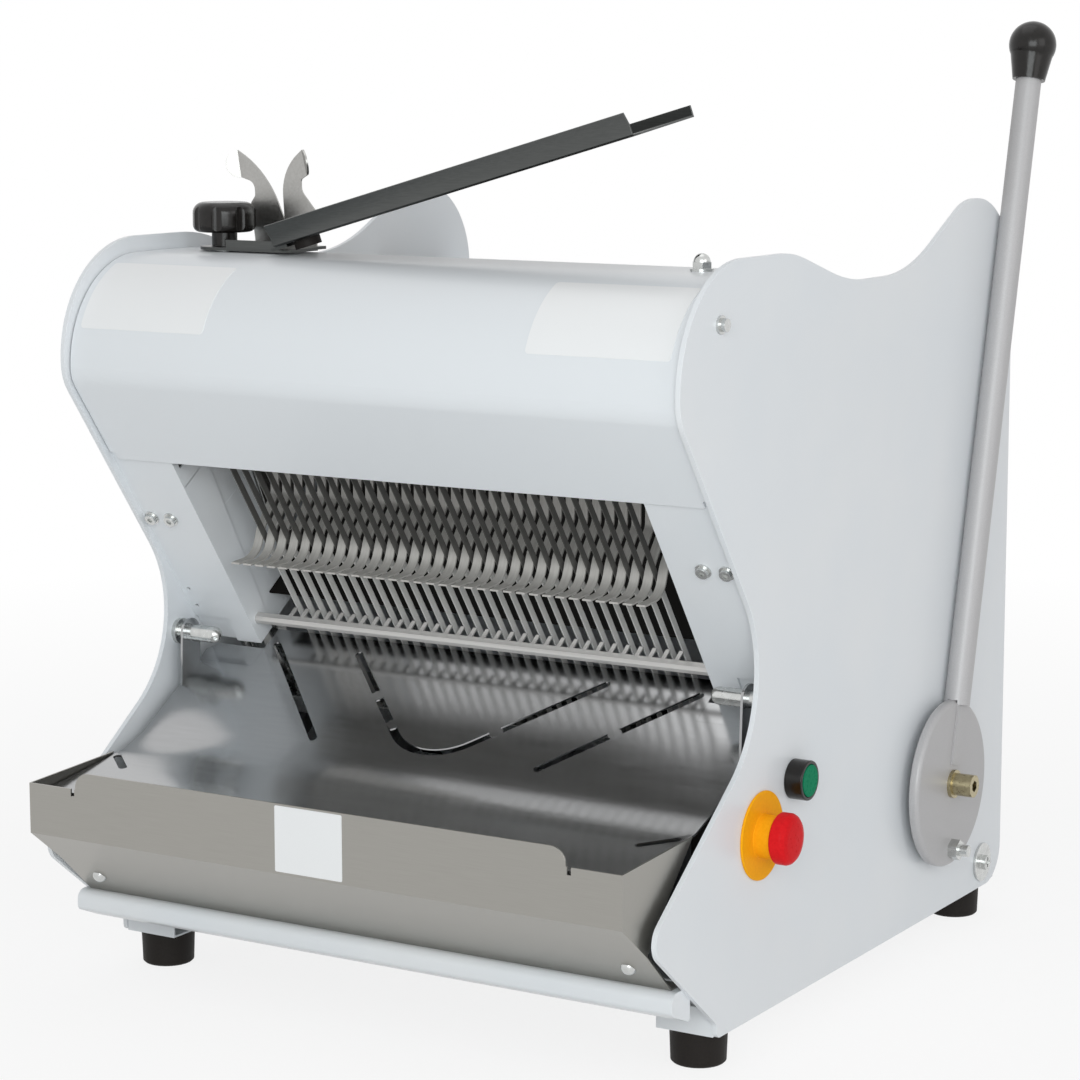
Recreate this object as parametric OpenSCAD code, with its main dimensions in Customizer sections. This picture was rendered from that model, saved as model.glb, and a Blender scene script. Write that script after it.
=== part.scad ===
// Table-top bread slicer. Millimetres, Z up, front at -Y, lever on the +X side.
// The origin lies on the table, midway between the four feet.

/* [Casing] */
// Clear width between the two side panels
inner_width = 558; // [520:1:620]
// Side panel sheet thickness
panel_thickness = 4; // [3:0.5:5]
// Height of the rubber feet
foot_height = 28; // [22:1:34]
// Diameter of the rubber feet
foot_diameter = 45; // [36:1:50]
// Half the distance between the front and rear feet
foot_reach = 238.8; // [225:0.2:240]
// Casing sheet thickness
sheet = 2; // [1.5:0.1:2.5]
// Stainless sheet thickness
steel = 1.5; // [1:0.1:2]

/* [Blades] */
// Lean of the blade plane from upright
lean = 35; // [33:0.5:37]
// Pitch of the blades, which is the slice thickness
pitch = 12; // [10:0.5:13]
// Blade width along the loaf path
blade_width = 6; // [5:0.5:8]
// Blade thickness
blade_thickness = 0.8; // [0.6:0.1:1.2]
// Half stroke of a blade frame
half_stroke = 9; // [6:0.5:10]
// Space between the loaf channel and a side panel
side_space = 59; // [55:1:70]
// Width of one finger of the hold-down comb
finger_width = 8; // [6:0.5:8]

/* [Lever] */
// Lever disc radius
disc_radius = 71; // [66:0.5:74]
// Lever disc thickness
disc_thickness = 9; // [7:0.5:9]
// Lean of the lever tube at rest, back from upright
lever_lean = 13.7; // [10:0.1:16]
// Lever tube diameter
lever_tube_diameter = 22; // [18:0.5:22]
// Distance from the pivot to the top of the knob
lever_length = 659; // [600:1:680]
// Lever shaft diameter
shaft_diameter = 20; // [16:0.5:20]
// Radial play of every turning shaft
running_play = 0.05; // [0.02:0.01:0.08]

/* [Front] */
// Slope of the chute below level
chute_slope = 32; // [31:0.5:33]
// Height of the straight tray front
tray_front = 41; // [36:1:44]
// Height of the raised middle lip above the tray front
tray_lip = 14; // [8:1:18]
// Width of a crumb slot
slot_width = 7; // [5:0.5:9]

/* [Buttons and scoop] */
// Stop head diameter
stop_diameter = 40; // [34:1:44]
// Start cap diameter
start_diameter = 25; // [22:0.5:26]
// Rise of the bag scoop from level
scoop_rise = 15.7; // [14:0.1:20]
// Tilt of the bag scoop shelf, front edge down
scoop_tilt = 7.5; // [6:0.5:12]
// Length of the bag scoop shelf
scoop_length = 353; // [300:1:360]
// Depth of the bag scoop shelf
scoop_depth = 92; // [70:1:95]

/* [Hidden] */
half = inner_width / 2;
outer = half + panel_thickness;
wall = half - side_space;
play = 0.3;
chord_error = 0.06;
$fn = 36;

paint = [0.9, 0.92, 0.93];
stainless = [0.6, 0.6, 0.58];
zinc = [0.72, 0.74, 0.72];
brass = [0.66, 0.6, 0.42];
rubber = [0.06, 0.05, 0.05];
grey = [0.68, 0.69, 0.69];
red = [0.85, 0.08, 0.1];
yellow = [0.98, 0.66, 0.05];
green = [0.02, 0.42, 0.24];

// Vector helpers, filleted outlines and folded sheets
function flat(p) = [p[0], p[1]];
function unit(v) = v / norm(v);
function turn(a) = a > 180 ? a - 360 : a < -180 ? a + 360 : a;
function bearing(v) = atan2(v[1], v[0]);
function arc_step(r) = min(20, 2 * acos(1 - chord_error / max(r, 1)));
function fillet_arc(c, r, from, sweep, steps) =
    [for (i = [0:steps]) c + r * [cos(from + sweep * i / steps), sin(from + sweep * i / steps)]];
function fillet_at(p, u, w, r, h) =
    let (c = p + unit(u + w) * r / sin(h))
    let (from = bearing(p + u * r / tan(h) - c))
    let (sweep = turn(bearing(p + w * r / tan(h) - c) - from))
    fillet_arc(c, r, from, sweep, max(2, ceil(abs(sweep) / arc_step(r))));
function fillet(a, p, b, r) =
    let (u = unit(a - p), w = unit(b - p))
    fillet_at(p, u, w, r, acos(u * w) / 2);
function corner(a, p, b) = p[2] > 0 ? fillet(flat(a), flat(p), flat(b), p[2]) : [flat(p)];
function rounded(c) =
    let (n = len(c))
    [for (i = [0:n - 1]) each corner(c[(i + n - 1) % n], c[i], c[(i + 1) % n])];
function rounded_path(c) =
    let (n = len(c))
    [for (i = [0:n - 1]) each (i == 0 || i == n - 1) ? [flat(c[i])] : corner(c[i - 1], c[i], c[i + 1])];
function left(v) = [-v[1], v[0]];
function side_of(path, i) = left(unit(path[min(i + 1, len(path) - 1)] - path[min(i, len(path) - 2)]));
function side_before(path, i) = left(unit(path[max(i, 1)] - path[max(i - 1, 0)]));
function shifted(path, i, t) =
    let (m = unit(side_before(path, i) + side_of(path, i)))
    path[i] + m * t / (m * side_before(path, i));
function folded(path, t) =
    concat(path, [for (i = [len(path) - 1:-1:0]) shifted(path, i, t)]);

// Extrusion of a side outline across the width, and a round bar across the width
module slab(outline, x0, x1) {
    translate([x0, 0, 0])
        rotate([90, 0, 90])
            linear_extrude(x1 - x0)
                polygon(outline);
}
module bar(x0, x1, y, z, r) {
    translate([x0, y, z])
        rotate([0, 90, 0])
            cylinder(h = x1 - x0, r = r);
}
module box(x0, x1, y0, y1, z0, z1) {
    translate([x0, y0, z0])
        cube([x1 - x0, y1 - y0, z1 - z0]);
}
module both_sides() {
    children();
    mirror([1, 0, 0])
        children();
}

// Blade frame of reference: Y runs back up the loaf bed, Z runs up the blades
cut_y = -142.6;
cut_z = 299;
module leaned() {
    translate([0, cut_y, cut_z])
        rotate([lean, 0, 0])
            children();
}
function to_world(p) =
    [cut_y + p[0] * cos(lean) - p[1] * sin(lean), cut_z + p[0] * sin(lean) + p[1] * cos(lean)];
function to_leaned(p) =
    let (y = p[0] - cut_y, z = p[1] - cut_z)
    [y * cos(lean) + z * sin(lean), z * cos(lean) - y * sin(lean)];

// Lever pivot, stop bolt and pusher travel
lever_y = 129.4;
lever_z = 145;
lever = to_leaned([lever_y, lever_z]);
shaft_radius = shaft_diameter / 2;
bush_radius = shaft_radius + 6;
disc_gap = 7.5;
disc_in = outer + disc_gap;
disc_out = disc_in + disc_thickness;
stop_reach = 57;
stop_radius = 5;
stop_play = 2;
lever_sweep = 41.5;
pin_radius = 8;
pin_height = 30;
pin_back = 320;
pin_front = 70;
arm_rest = [pin_back, pin_height] - lever;
arm_lean = bearing(arm_rest) - 90 + lean;

// Crank, motor and belt
crank_height = -190;
crank = to_world([0, crank_height]);
crank_radius = 10;
eccentric_radius = crank_radius + half_stroke + 2;
strap_in = eccentric_radius + 2 * half_stroke + 1;
strap_out = strap_in + 8;
strap_width = 12;
strap_x = 24;
big_pulley = 52;
small_pulley = big_pulley / 2;
motor = [75, 90];
motor_radius = 58;
motor_shaft = 9;
belt_x = -wall + 15;
belt_width = 18;
belt_thickness = 4;
belt_play = 0.6;

// Blade frames
bar_near = blade_width / 2 + 0.5;
bar_depth = 16;
bar_height = 20;
bar_top = 180;
bar_low = -120;
upright_in = wall + 8;
upright_width = 10;
rod_radius = 5;
rod_x = upright_in + upright_width + rod_radius + 9;
bar_end = rod_x + 12;
rod_y = bar_near + bar_depth / 2;
rod_low = -165;
rod_top = 237;
bracket_height = 15;
comb_margin = 28;
blade_count = 2 * floor((wall - comb_margin) / pitch);
first_blade = -pitch * (blade_count - 1) / 2;

// Channel, posts and comb
post_front = -26.5;
post_low = -28;
post_top = 196;
return_top = 150;
step_top = 100;
wall_low = -22;
wall_back = 370;
wall_height = 110;
wall_drop = 72;
wall_step = 300;
comb_pivot = [56, 112];
comb_pin = 5;
bed_front = blade_width / 2 + 5;
bed_back = 455;
rear_inner = 268;

// Hood over the tops of the guide rods, and the side panel outline: waist, hood bump, saddle, rear horn
hood_clear = 103.9;
nose_clear = 32.7;
hood_top = to_world([0, rod_top])[1] + hood_clear;
hood_nose = to_world([-rod_y, rod_top])[0] - nose_clear;
hood_rear = -165;
hood_play = 1.2;
hood_lip = hood_top - 168;
panel_rear = 275.5;
bracket_front = -foot_reach - 23.2;
panel_outline = rounded([
    [bracket_front - 1, foot_height, 5],
    [bracket_front - 1, foot_height + 11, 8],
    [-368, 123.5, 17],
    [-163, 275.4, 95],
    [hood_nose - 5.5, hood_top - 97, 40],
    [hood_nose - 5.5, hood_top + 13, 95],
    [hood_rear + 15, hood_top + 13, 150],
    [-52, hood_top - 15, 230],
    [63, hood_top - 15, 190],
    [172, hood_top + 40, 80],
    [panel_rear, hood_top + 40, 80],
    [panel_rear, foot_height, 32]]);

module pin_slot() {
    y0 = pin_front - 4;
    y1 = pin_back + 4;
    r = pin_radius + 0.5;
    box(-outer, outer, y0, y1, pin_height - r, pin_height + r);
    bar(-outer, outer, y0, pin_height, r);
    bar(-outer, outer, y1, pin_height, r);
}

// Casing
module panel_blank() {
    difference() {
        slab(panel_outline, half, outer);
        bar(half - 1, outer + 1, lever_y, lever_z, bush_radius + running_play);
    }
}
module stop_slot() {
    reach = 2 * disc_radius;
    translate([half - 1, lever_y, lever_z])
        rotate([90, 0, 90])
            intersection() {
                difference() {
                    cylinder(h = panel_thickness + 2, r = stop_reach + stop_radius + stop_play);
                    translate([0, 0, -1])
                        cylinder(h = panel_thickness + 4, r = stop_reach - stop_radius - stop_play);
                }
                linear_extrude(panel_thickness + 2)
                    polygon([
                        [0, 0],
                        reach * [cos(-98), sin(-98)],
                        reach * [cos(-70), sin(-70)],
                        reach * [cos(lever_sweep - 82), sin(lever_sweep - 82)]]);
            }
}
start_y = -141;
start_z = 203;
stop_y = -194;
stop_z = 169.5;
button_hole = 11.3;
module side_panel_right() {
    color(paint)
        difference() {
            panel_blank();
            stop_slot();
            bar(half - 1, outer + 1, start_y, start_z, button_hole);
            bar(half - 1, outer + 1, stop_y, stop_z, button_hole);
        }
}
module side_panel_left() {
    color(paint)
        mirror([1, 0, 0])
            panel_blank();
}
foot_x = half - foot_diameter / 2 - 2;
pan_front = -foot_reach + 26.8;
pan_top = foot_height + sheet;
module base_pan() {
    color(paint)
        union() {
            box(-half, half, pan_front, rear_inner, foot_height, pan_top);
            box(-half, half, pan_front, pan_front + sheet, pan_top, pan_top + 20);
        }
}
module foot_brackets() {
    x0 = half - foot_diameter - 4;
    color(paint)
        both_sides()
            union() {
                box(x0, half, bracket_front, pan_front, foot_height, pan_top);
                box(x0, half, bracket_front, bracket_front + sheet, pan_top, pan_top + 20);
            }
}
module rubber_feet() {
    r = foot_diameter / 2;
    color(rubber)
        for (x = [-foot_x, foot_x], y = [-foot_reach, foot_reach])
            translate([x, y, 0])
                rotate_extrude()
                    polygon([[0, 0], [r - 2.5, 0], [r - 1, 1.5], [r, foot_height], [0, foot_height]]);
}
rail_top = 78;
rail_outline = rounded([
    [-298, rail_top, 0],
    [-326, rail_top, 8],
    [-326, rail_top - 16, 5],
    [-300, rail_top - 27, 0],
    [-298, rail_top - 25, 0]]);
module front_rail() {
    color(paint)
        slab(rail_outline, -half, half);
}
cover_top = to_world([bed_back, 0])[1] - 4;
cover_front = to_world([bed_back, 0])[0] + 3;
module rear_cover() {
    color(paint)
        difference() {
            union() {
                box(-half, half, rear_inner, rear_inner + sheet, foot_height, cover_top);
                box(-half, half, cover_front, rear_inner + 1, cover_top - sheet, cover_top);
            }
            for (i = [0:5])
                box(30, 150, rear_inner - 1, rear_inner + sheet + 1, 120 + 18 * i, 127 + 18 * i);
        }
}
hood_path = rounded_path([
    [hood_nose + 51.9, hood_lip, 0],
    [hood_nose, hood_top - 97, 26],
    [hood_nose, hood_top, 88],
    [hood_rear, hood_top, 0]]);
module hood() {
    notch = 6;
    color(paint)
        difference() {
            slab(folded(hood_path, -sheet), -half + hood_play, half - hood_play);
            both_sides()
                box(half - notch, half, hood_nose, hood_nose + 80, hood_lip - 20, hood_lip + notch);
        }
}
module hood_back() {
    color(paint)
        box(-half, half, hood_rear - sheet, hood_rear, hood_lip + 21, hood_top - sheet);
}
nut_x = half - 47;
nut_y = -200;
stud_x = -half + 55;
stud_y = -185;
strap_bottom = hood_top + 1.3;
module hood_fasteners() {
    color(zinc)
        union() {
            translate([nut_x, nut_y, hood_top])
                cylinder(h = 2, r = 9);
            translate([nut_x, nut_y, hood_top + 2])
                cylinder(h = 5, r = 8, $fn = 6);
            translate([nut_x, nut_y, hood_top + 7])
                difference() {
                    sphere(r = 6.5);
                    translate([-8, -8, -16])
                        cube(16);
                }
            both_sides()
                union() {
                    bar(outer, outer + 2, hood_nose + 54.5, hood_top - 33, 7);
                    bar(outer + 2, outer + 6, hood_nose + 54.5, hood_top - 33, 5);
                }
        }
}
module scoop_stud() {
    color(zinc)
        union() {
            translate([stud_x, stud_y, hood_top])
                cylinder(h = 1, r = 9);
            translate([stud_x, stud_y, hood_top])
                cylinder(h = 26, r = 5);
        }
}
module panel_screws() {
    color(zinc)
        both_sides()
            difference() {
                union() {
                    bar(outer, outer + 2.5, 232, 51, 17);
                    bar(outer + 2.5, outer + 7, 232, 51, 6.5);
                }
                box(outer + 5.5, outer + 8, 230.8, 233.2, 46, 56);
                box(outer + 5.5, outer + 8, 227, 237, 49.8, 52.2);
            }
}

// Front posts: a face with two screws, a return beside the blades, and a stepped plate behind it
function return_edge(z) = -4.2 + 0.099 * z;
function step_edge(z) = 38.5 + 0.147 * z;
module post() {
    tail = half - 34;
    difference() {
        union() {
            box(wall, half, post_front, post_front + sheet, -2, post_top);
            box(wall, tail, post_front, post_front + sheet, post_low, post_top);
            slab([
                [post_front, post_low],
                [return_edge(post_low), post_low],
                [return_edge(return_top), return_top],
                [post_front, return_top]], wall, wall + sheet);
            slab([
                [return_edge(post_low) - 6, post_low],
                [step_edge(post_low), post_low],
                [step_edge(step_top), step_top],
                [return_edge(step_top) - 6, step_top]], wall + sheet, wall + 2 * sheet);
        }
        for (z = [30, 10])
            translate([half - 8, post_front - 1, z])
                rotate([-90, 0, 0])
                    cylinder(h = sheet + 2, r = 2);
    }
}
module post_right() {
    color(paint)
        leaned()
            post();
}
module post_left() {
    color(paint)
        leaned()
            mirror([1, 0, 0])
                post();
}
module post_screws() {
    color(zinc)
        leaned()
            both_sides()
                for (x = [half - 28.4, half - 8.4])
                    translate([x, post_front, 112.5])
                        rotate([90, 0, 0])
                            difference() {
                                union() {
                                    cylinder(h = 1.2, r = 6.5);
                                    translate([0, 0, 1.2])
                                        cylinder(h = 3.2, r = 5);
                                }
                                translate([0, 0, 2.4])
                                    cylinder(h = 4, r = 2.5, $fn = 6);
                            }
}

// Loaf channel
module channel_wall() {
    difference() {
        union() {
            slab([
                [step_edge(wall_low) + 1, wall_low],
                [wall_back, wall_low],
                [wall_back, wall_drop],
                [wall_step + 12, wall_drop],
                [wall_step, wall_height],
                [90, wall_height],
                [80, 128],
                [comb_pivot[0] - 9, 128],
                [comb_pivot[0] - 9, step_top + 3],
                [step_edge(step_top) + 1, step_top]], wall, wall + sheet);
            box(wall + sheet, half, 90, wall_step, wall_height - sheet, wall_height);
            box(wall + sheet, half, wall_step + 12, wall_back, wall_drop - sheet, wall_drop);
        }
        pin_slot();
        bar(wall - 1, wall + sheet + 1, comb_pivot[0], comb_pivot[1], comb_pin + running_play);
    }
}
module channel_wall_right() {
    color(stainless)
        leaned()
            channel_wall();
}
module channel_wall_left() {
    color(stainless)
        leaned()
            mirror([1, 0, 0])
                channel_wall();
}
module infeed_bed() {
    color(stainless)
        leaned()
            box(-wall, wall, bed_front, bed_back, -steel, 0);
}
lip_back = -14;
module bed_comb() {
    tooth = 3.6;
    color(stainless)
        leaned()
            union() {
                slab(folded([[lip_back, -3], [-19, -3], [-21.5, -5.5], [-21.5, -9]], steel), -wall, wall);
                for (i = [0:blade_count - 1])
                    box(first_blade + i * pitch - tooth / 2, first_blade + i * pitch + tooth / 2,
                        lip_back - 1, -blade_width / 2 - 1, -3 - steel, -3);
            }
}

// Hold-down comb, in the leaned frame
finger_path = rounded_path([[-38, 80.5, 0], [-14, 66.5, 18], [6, 80.8, 30], [37, 90.5, 8], [54, 114, 0]]);
module hold_comb() {
    first_fin = first_blade - pitch / 2;
    last_fin = -first_fin;
    color(stainless)
        leaned()
            union() {
                for (i = [0:blade_count])
                    slab(folded(finger_path, -steel), first_fin + i * pitch - finger_width / 2,
                        first_fin + i * pitch + finger_width / 2);
                box(first_fin, last_fin, 50, 62, 106, 118);
                bar(last_fin - 2, wall + sheet, comb_pivot[0], comb_pivot[1], comb_pin);
                bar(-wall - sheet, first_fin + 2, comb_pivot[0], comb_pivot[1], comb_pin);
            }
}

// Chute and its pins; the chute frame starts on the chute face
chute_y = -165.6;
chute_z = 249;
chute_top = 41;
fold_one = -98;
fold_two = 27.5;
fold_slope = 21;
floor_slope = 8;
floor_front = -371;
chute_half = half - 9;
pin_y = -185;
pin_z = 272;
chute_pin = 7;
module sloped() {
    translate([0, chute_y, chute_z])
        rotate([chute_slope, 0, 0])
            children();
}
module slot_run(a, b) {
    d = b - a;
    translate([a[0], a[1], -20])
        rotate([0, 0, bearing(d)])
            union() {
                translate([0, -slot_width / 2, 0])
                    cube([norm(d), slot_width, 40]);
                cylinder(h = 40, d = slot_width);
                translate([norm(d), 0, 0])
                    cylinder(h = 40, d = slot_width);
            }
}
slot_top = 22;
slot_span = wall - 16;
slot_inner = slot_span - 84.6;
bend_radius = 50;
bend_centre = slot_top - slot_inner + bend_radius * sqrt(2);
module slot_bend() {
    translate([0, bend_centre, -20])
        intersection() {
            difference() {
                cylinder(h = 40, r = bend_radius + slot_width / 2);
                translate([0, 0, -1])
                    cylinder(h = 42, r = bend_radius - slot_width / 2);
            }
            linear_extrude(40)
                polygon([[0, 0], [-80, -80], [80, -80]]);
        }
}
ear_x = half - 11;
module chute_ear() {
    foot = [pin_y - 14, chute_z + (pin_y - 14 - chute_y) * tan(chute_slope) - 0.8];
    difference() {
        union() {
            slab([
                foot,
                [pin_y + 12, chute_z + (pin_y + 12 - chute_y) * tan(chute_slope) - 0.8],
                [pin_y + 12, pin_z],
                [pin_y - 12, pin_z]], ear_x - sheet, ear_x);
            bar(ear_x - sheet, ear_x, pin_y, pin_z, 12);
        }
        bar(ear_x - 5, ear_x + 5, pin_y, pin_z, chute_pin + running_play);
    }
}
function on_chute(s) = [chute_y + s * cos(chute_slope), chute_z + s * sin(chute_slope)];
fold_a = on_chute(fold_one);
fold_b = fold_a - fold_two * [cos(fold_slope), sin(fold_slope)];
function floor_z(y) = fold_b[1] + (y - fold_b[0]) * tan(floor_slope);
module chute() {
    tangent = [bend_radius / sqrt(2), bend_centre - bend_radius / sqrt(2)];
    color(stainless)
        difference() {
            union() {
                slab(folded([[floor_front, floor_z(floor_front)], fold_b, fold_a, on_chute(-6)], -steel),
                    -chute_half, chute_half);
                sloped()
                    box(-wall + 6, wall - 6, -7, chute_top, -steel, 0);
                both_sides()
                    chute_ear();
            }
            sloped()
                union() {
                    both_sides()
                        union() {
                            slot_run([slot_span, slot_top], [slot_span - 97, slot_top - 100]);
                            slot_run([slot_inner, slot_top], tangent);
                        }
                    slot_bend();
                }
            both_sides()
                translate([0, 0, fold_b[1]])
                    slot_run([chute_half - 7, fold_b[0] - 16], [chute_half - 28, fold_b[0] - 35]);
        }
}
module chute_pins() {
    color(zinc)
        both_sides()
            union() {
                bar(ear_x - 26, half, pin_y, pin_z, chute_pin);
                translate([ear_x - 26, pin_y, pin_z])
                    sphere(r = chute_pin);
                bar(half - 4, half, pin_y, pin_z, 11);
            }
}

// Tray: front face, lip, folds under to the rail, and end plates
tray_face = -388.6;
tray_low = 141;
tray_end = half - 6;
tray_path = [
    [tray_face, tray_low + tray_front],
    [tray_face, tray_low],
    [-352, 112],
    [-316, rail_top + 0.2],
    [-300, rail_top + 0.2]];
rest_front = -345;
rest_back = -325;
rest_drop = steel / cos(floor_slope) + play;
module tray() {
    top = tray_low + tray_front;
    notch = wall + 9;
    lip_half = wall + 6;
    color(stainless)
        difference() {
            union() {
                slab(folded(tray_path, steel), -tray_end, tray_end);
                translate([0, tray_face + steel, 0])
                    rotate([90, 0, 0])
                        linear_extrude(steel)
                            polygon(rounded([
                                [-lip_half, top - 2, 0], [lip_half, top - 2, 0],
                                [lip_half, top + tray_lip, 13], [-lip_half, top + tray_lip, 13]]));
                both_sides()
                    slab([
                        [tray_face, tray_low + 0.5], [-352, 113.2], [-322, 148],
                        [-284, 187], [tray_face, top]], tray_end - steel, tray_end);
                both_sides()
                    slab([
                        [rest_front, floor_z(rest_front) - rest_drop - steel],
                        [rest_back, floor_z(rest_back) - rest_drop - steel],
                        [rest_back, floor_z(rest_back) - rest_drop],
                        [rest_front, floor_z(rest_front) - rest_drop]], tray_end - 14, tray_end);
            }
            both_sides()
                box(notch - 2, notch + 1.5, tray_face - 1, tray_face + steel + 1, top - 6, top + 30);
        }
}
module tray_screws() {
    dip = atan2(112 - rail_top, 352 - 316);
    color(zinc)
        both_sides()
            translate([half - 31.4, -335, 112 - 17 * tan(dip)])
                rotate([180 - dip, 0, 0])
                    translate([0, 0, -2])
                        difference() {
                            sphere(r = 6.5);
                            translate([-8, -8, -14])
                                cube(16);
                        }
}

// Lever, shaft and swing arms
module leaned_lever() {
    translate([0, lever_y, lever_z])
        rotate([-lever_lean, 0, 0])
            children();
}
module lever_disc() {
    color(grey)
        difference() {
            translate([disc_in, lever_y, lever_z])
                rotate([0, 90, 0])
                    rotate_extrude()
                        polygon(rounded([
                            [0, 0, 0], [disc_radius, 0, 2],
                            [disc_radius, disc_thickness, 4], [0, disc_thickness, 0]]));
            bar(disc_in - 1, disc_out + 1, lever_y, lever_z - stop_reach, stop_radius + running_play);
        }
}
tube_x = (disc_in + disc_out) / 2;
tube_radius = lever_tube_diameter / 2;
knob_height = 51;
knob_base = lever_length - knob_height;
module lever_tube() {
    color(grey)
        leaned_lever()
            difference() {
                union() {
                    translate([tube_x, 0, disc_radius - 4])
                        cylinder(h = knob_base + 8 - disc_radius + 4, r = tube_radius);
                    box(disc_out, disc_out + 1.5, -9, 9, 16, disc_radius + 12);
                }
                bar(disc_in - 0.1, disc_out, 0, 0, disc_radius + 0.1);
            }
}
module lever_knob() {
    color(rubber)
        leaned_lever()
            translate([tube_x, 0, knob_base])
                difference() {
                    rotate_extrude()
                        polygon(concat(
                            [[0, 0], [14, 0]],
                            [for (a = [-28:8:84]) [20.3 * cos(a), 30.7 + 20.3 * sin(a)]],
                            [[0, knob_height]]));
                    translate([0, 0, -1])
                        cylinder(h = 9.2, r = tube_radius + running_play);
                }
}
module lever_bolt() {
    color(brass)
        difference() {
            union() {
                bar(disc_out, disc_out + 3, lever_y, lever_z, 12);
                bar(disc_out + 3, disc_out + 20, lever_y, lever_z, 9.5);
            }
            translate([disc_out + 12, lever_y, lever_z])
                rotate([0, 90, 0])
                    cylinder(h = 10, r = 5, $fn = 6);
        }
}
module stop_bolt() {
    z = lever_z - stop_reach;
    color(zinc)
        union() {
            bar(half - 8, disc_out + 16, lever_y, z, stop_radius);
            translate([disc_out, lever_y, z])
                rotate([0, 90, 0])
                    cylinder(h = 8, r = 9, $fn = 6);
            bar(half - 14, half - 6, lever_y, z, 9);
        }
}
module lever_shaft() {
    color(zinc)
        bar(-outer - 4, disc_in, lever_y, lever_z, shaft_radius);
}
module shaft_bushes() {
    color(brass)
        difference() {
            union() {
                bar(half, outer + disc_gap - 0.5, lever_y, lever_z, bush_radius);
                bar(half - 4, half, lever_y, lever_z, bush_radius + 6);
                bar(-outer - 3, -half, lever_y, lever_z, bush_radius);
                bar(-half, -half + 4, lever_y, lever_z, bush_radius + 6);
            }
            bar(-outer - 9, outer + 9, lever_y, lever_z, shaft_radius + running_play);
        }
}
arm_x = wall + 27;
arm_width = 9;
fork_half = pin_radius + 8;
fork_end = norm(arm_rest) + 22;
fork_start = pin_height - lever[1] - pin_radius - 8;
module swing_arms() {
    color(zinc)
        translate([0, lever_y, lever_z])
            rotate([arm_lean, 0, 0])
                both_sides()
                    difference() {
                        union() {
                            bar(arm_x, arm_x + arm_width, 0, 0, 24);
                            box(arm_x, arm_x + arm_width, -17, 17, 0, fork_start);
                            box(arm_x, arm_x + arm_width, -fork_half - 9, fork_half + 9, fork_start - 14, fork_end);
                        }
                        bar(arm_x - 1, arm_x + arm_width + 1, 0, 0, shaft_radius + running_play);
                        box(arm_x - 1, arm_x + arm_width + 1, -fork_half, fork_half, fork_start, fork_end + 1);
                    }
}

// Pusher, shown at rest at the back of the loaf bed
pusher_face = pin_back - 36;
module pusher_comb() {
    first_fin = first_blade - pitch / 2;
    color(stainless)
        leaned()
            difference() {
                union() {
                    box(-wall + 8, wall - 8, pusher_face, pusher_face + 3, 5, 70);
                    for (i = [0:blade_count])
                        box(first_fin + i * pitch - 1, first_fin + i * pitch + 1,
                            pusher_face - 34, pusher_face + 1, 8, 58);
                    for (x = [-150, 150])
                        box(x - 10, x + 10, pusher_face + 2, pin_back + 14, 14, 46);
                }
                bar(-wall, wall, pin_back, pin_height, pin_radius + running_play);
            }
}
module pusher_pin() {
    color(zinc)
        leaned()
            bar(-arm_x - arm_width - 4, arm_x + arm_width + 4, pin_back, pin_height, pin_radius);
}

// Blade frames: the rear frame carries the even blades, the front frame the odd ones
module frame_bars() {
    difference() {
        union() {
            for (z = [bar_low, bar_top])
                box(-bar_end, bar_end, bar_near, bar_near + bar_depth, z, z + bar_height);
            both_sides()
                box(upright_in, upright_in + upright_width, bar_near + 2, bar_near + bar_depth - 4,
                    bar_low, bar_top + bar_height);
        }
        for (x = [-rod_x, rod_x])
            translate([x, rod_y, bar_low - 1])
                cylinder(h = bar_top - bar_low + bar_height + 2, r = rod_radius + running_play);
    }
}
module blade_set(start) {
    w = blade_width / 2;
    for (i = [start:2:blade_count - 1]) {
        x = first_blade + i * pitch;
        t = blade_thickness / 2;
        box(x - t, x + t, -w, w, bar_low, bar_top + bar_height);
        for (z = [bar_low + 6, bar_top + 6])
            box(x - t, x + t, w - 1, bar_near, z, z + 8);
    }
}
module connecting_rod(x) {
    difference() {
        union() {
            bar(x, x + strap_width, 0, crank_height, strap_out);
            box(x, x + strap_width, bar_near + 1, bar_near + 13, crank_height + strap_in + 2, bar_low);
        }
        bar(x - 1, x + strap_width + 1, 0, crank_height, strap_in);
    }
}
module blade_bars_rear() {
    color(zinc)
        leaned()
            frame_bars();
}
module blade_bars_front() {
    color(zinc)
        leaned()
            mirror([0, 1, 0])
                frame_bars();
}
module blades_rear() {
    color(stainless)
        leaned()
            blade_set(0);
}
module blades_front() {
    color(stainless)
        leaned()
            mirror([0, 1, 0])
                blade_set(1);
}
module rod_rear() {
    color(grey)
        leaned()
            connecting_rod(strap_x);
}
module rod_front() {
    color(grey)
        leaned()
            mirror([0, 1, 0])
                connecting_rod(-strap_x - strap_width);
}
module guide_rods() {
    color(zinc)
        leaned()
            for (x = [-rod_x, rod_x], y = [-rod_y, rod_y])
                translate([x, y, rod_low + 1])
                    cylinder(h = rod_top - rod_low - 2, r = rod_radius);
}
module guide_brackets() {
    y = rod_y + rod_radius + 3;
    color(grey)
        leaned()
            both_sides()
                difference() {
                    union() {
                        box(rod_x - 10, half, -y, y, rod_low, rod_low + bracket_height);
                        box(rod_x - 10, half, -y, y, rod_top - bracket_height, rod_top);
                    }
                    for (s = [-rod_y, rod_y])
                        translate([rod_x, s, rod_low - 1])
                            cylinder(h = rod_top - rod_low + 2, r = rod_radius + running_play);
                }
}

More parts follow.
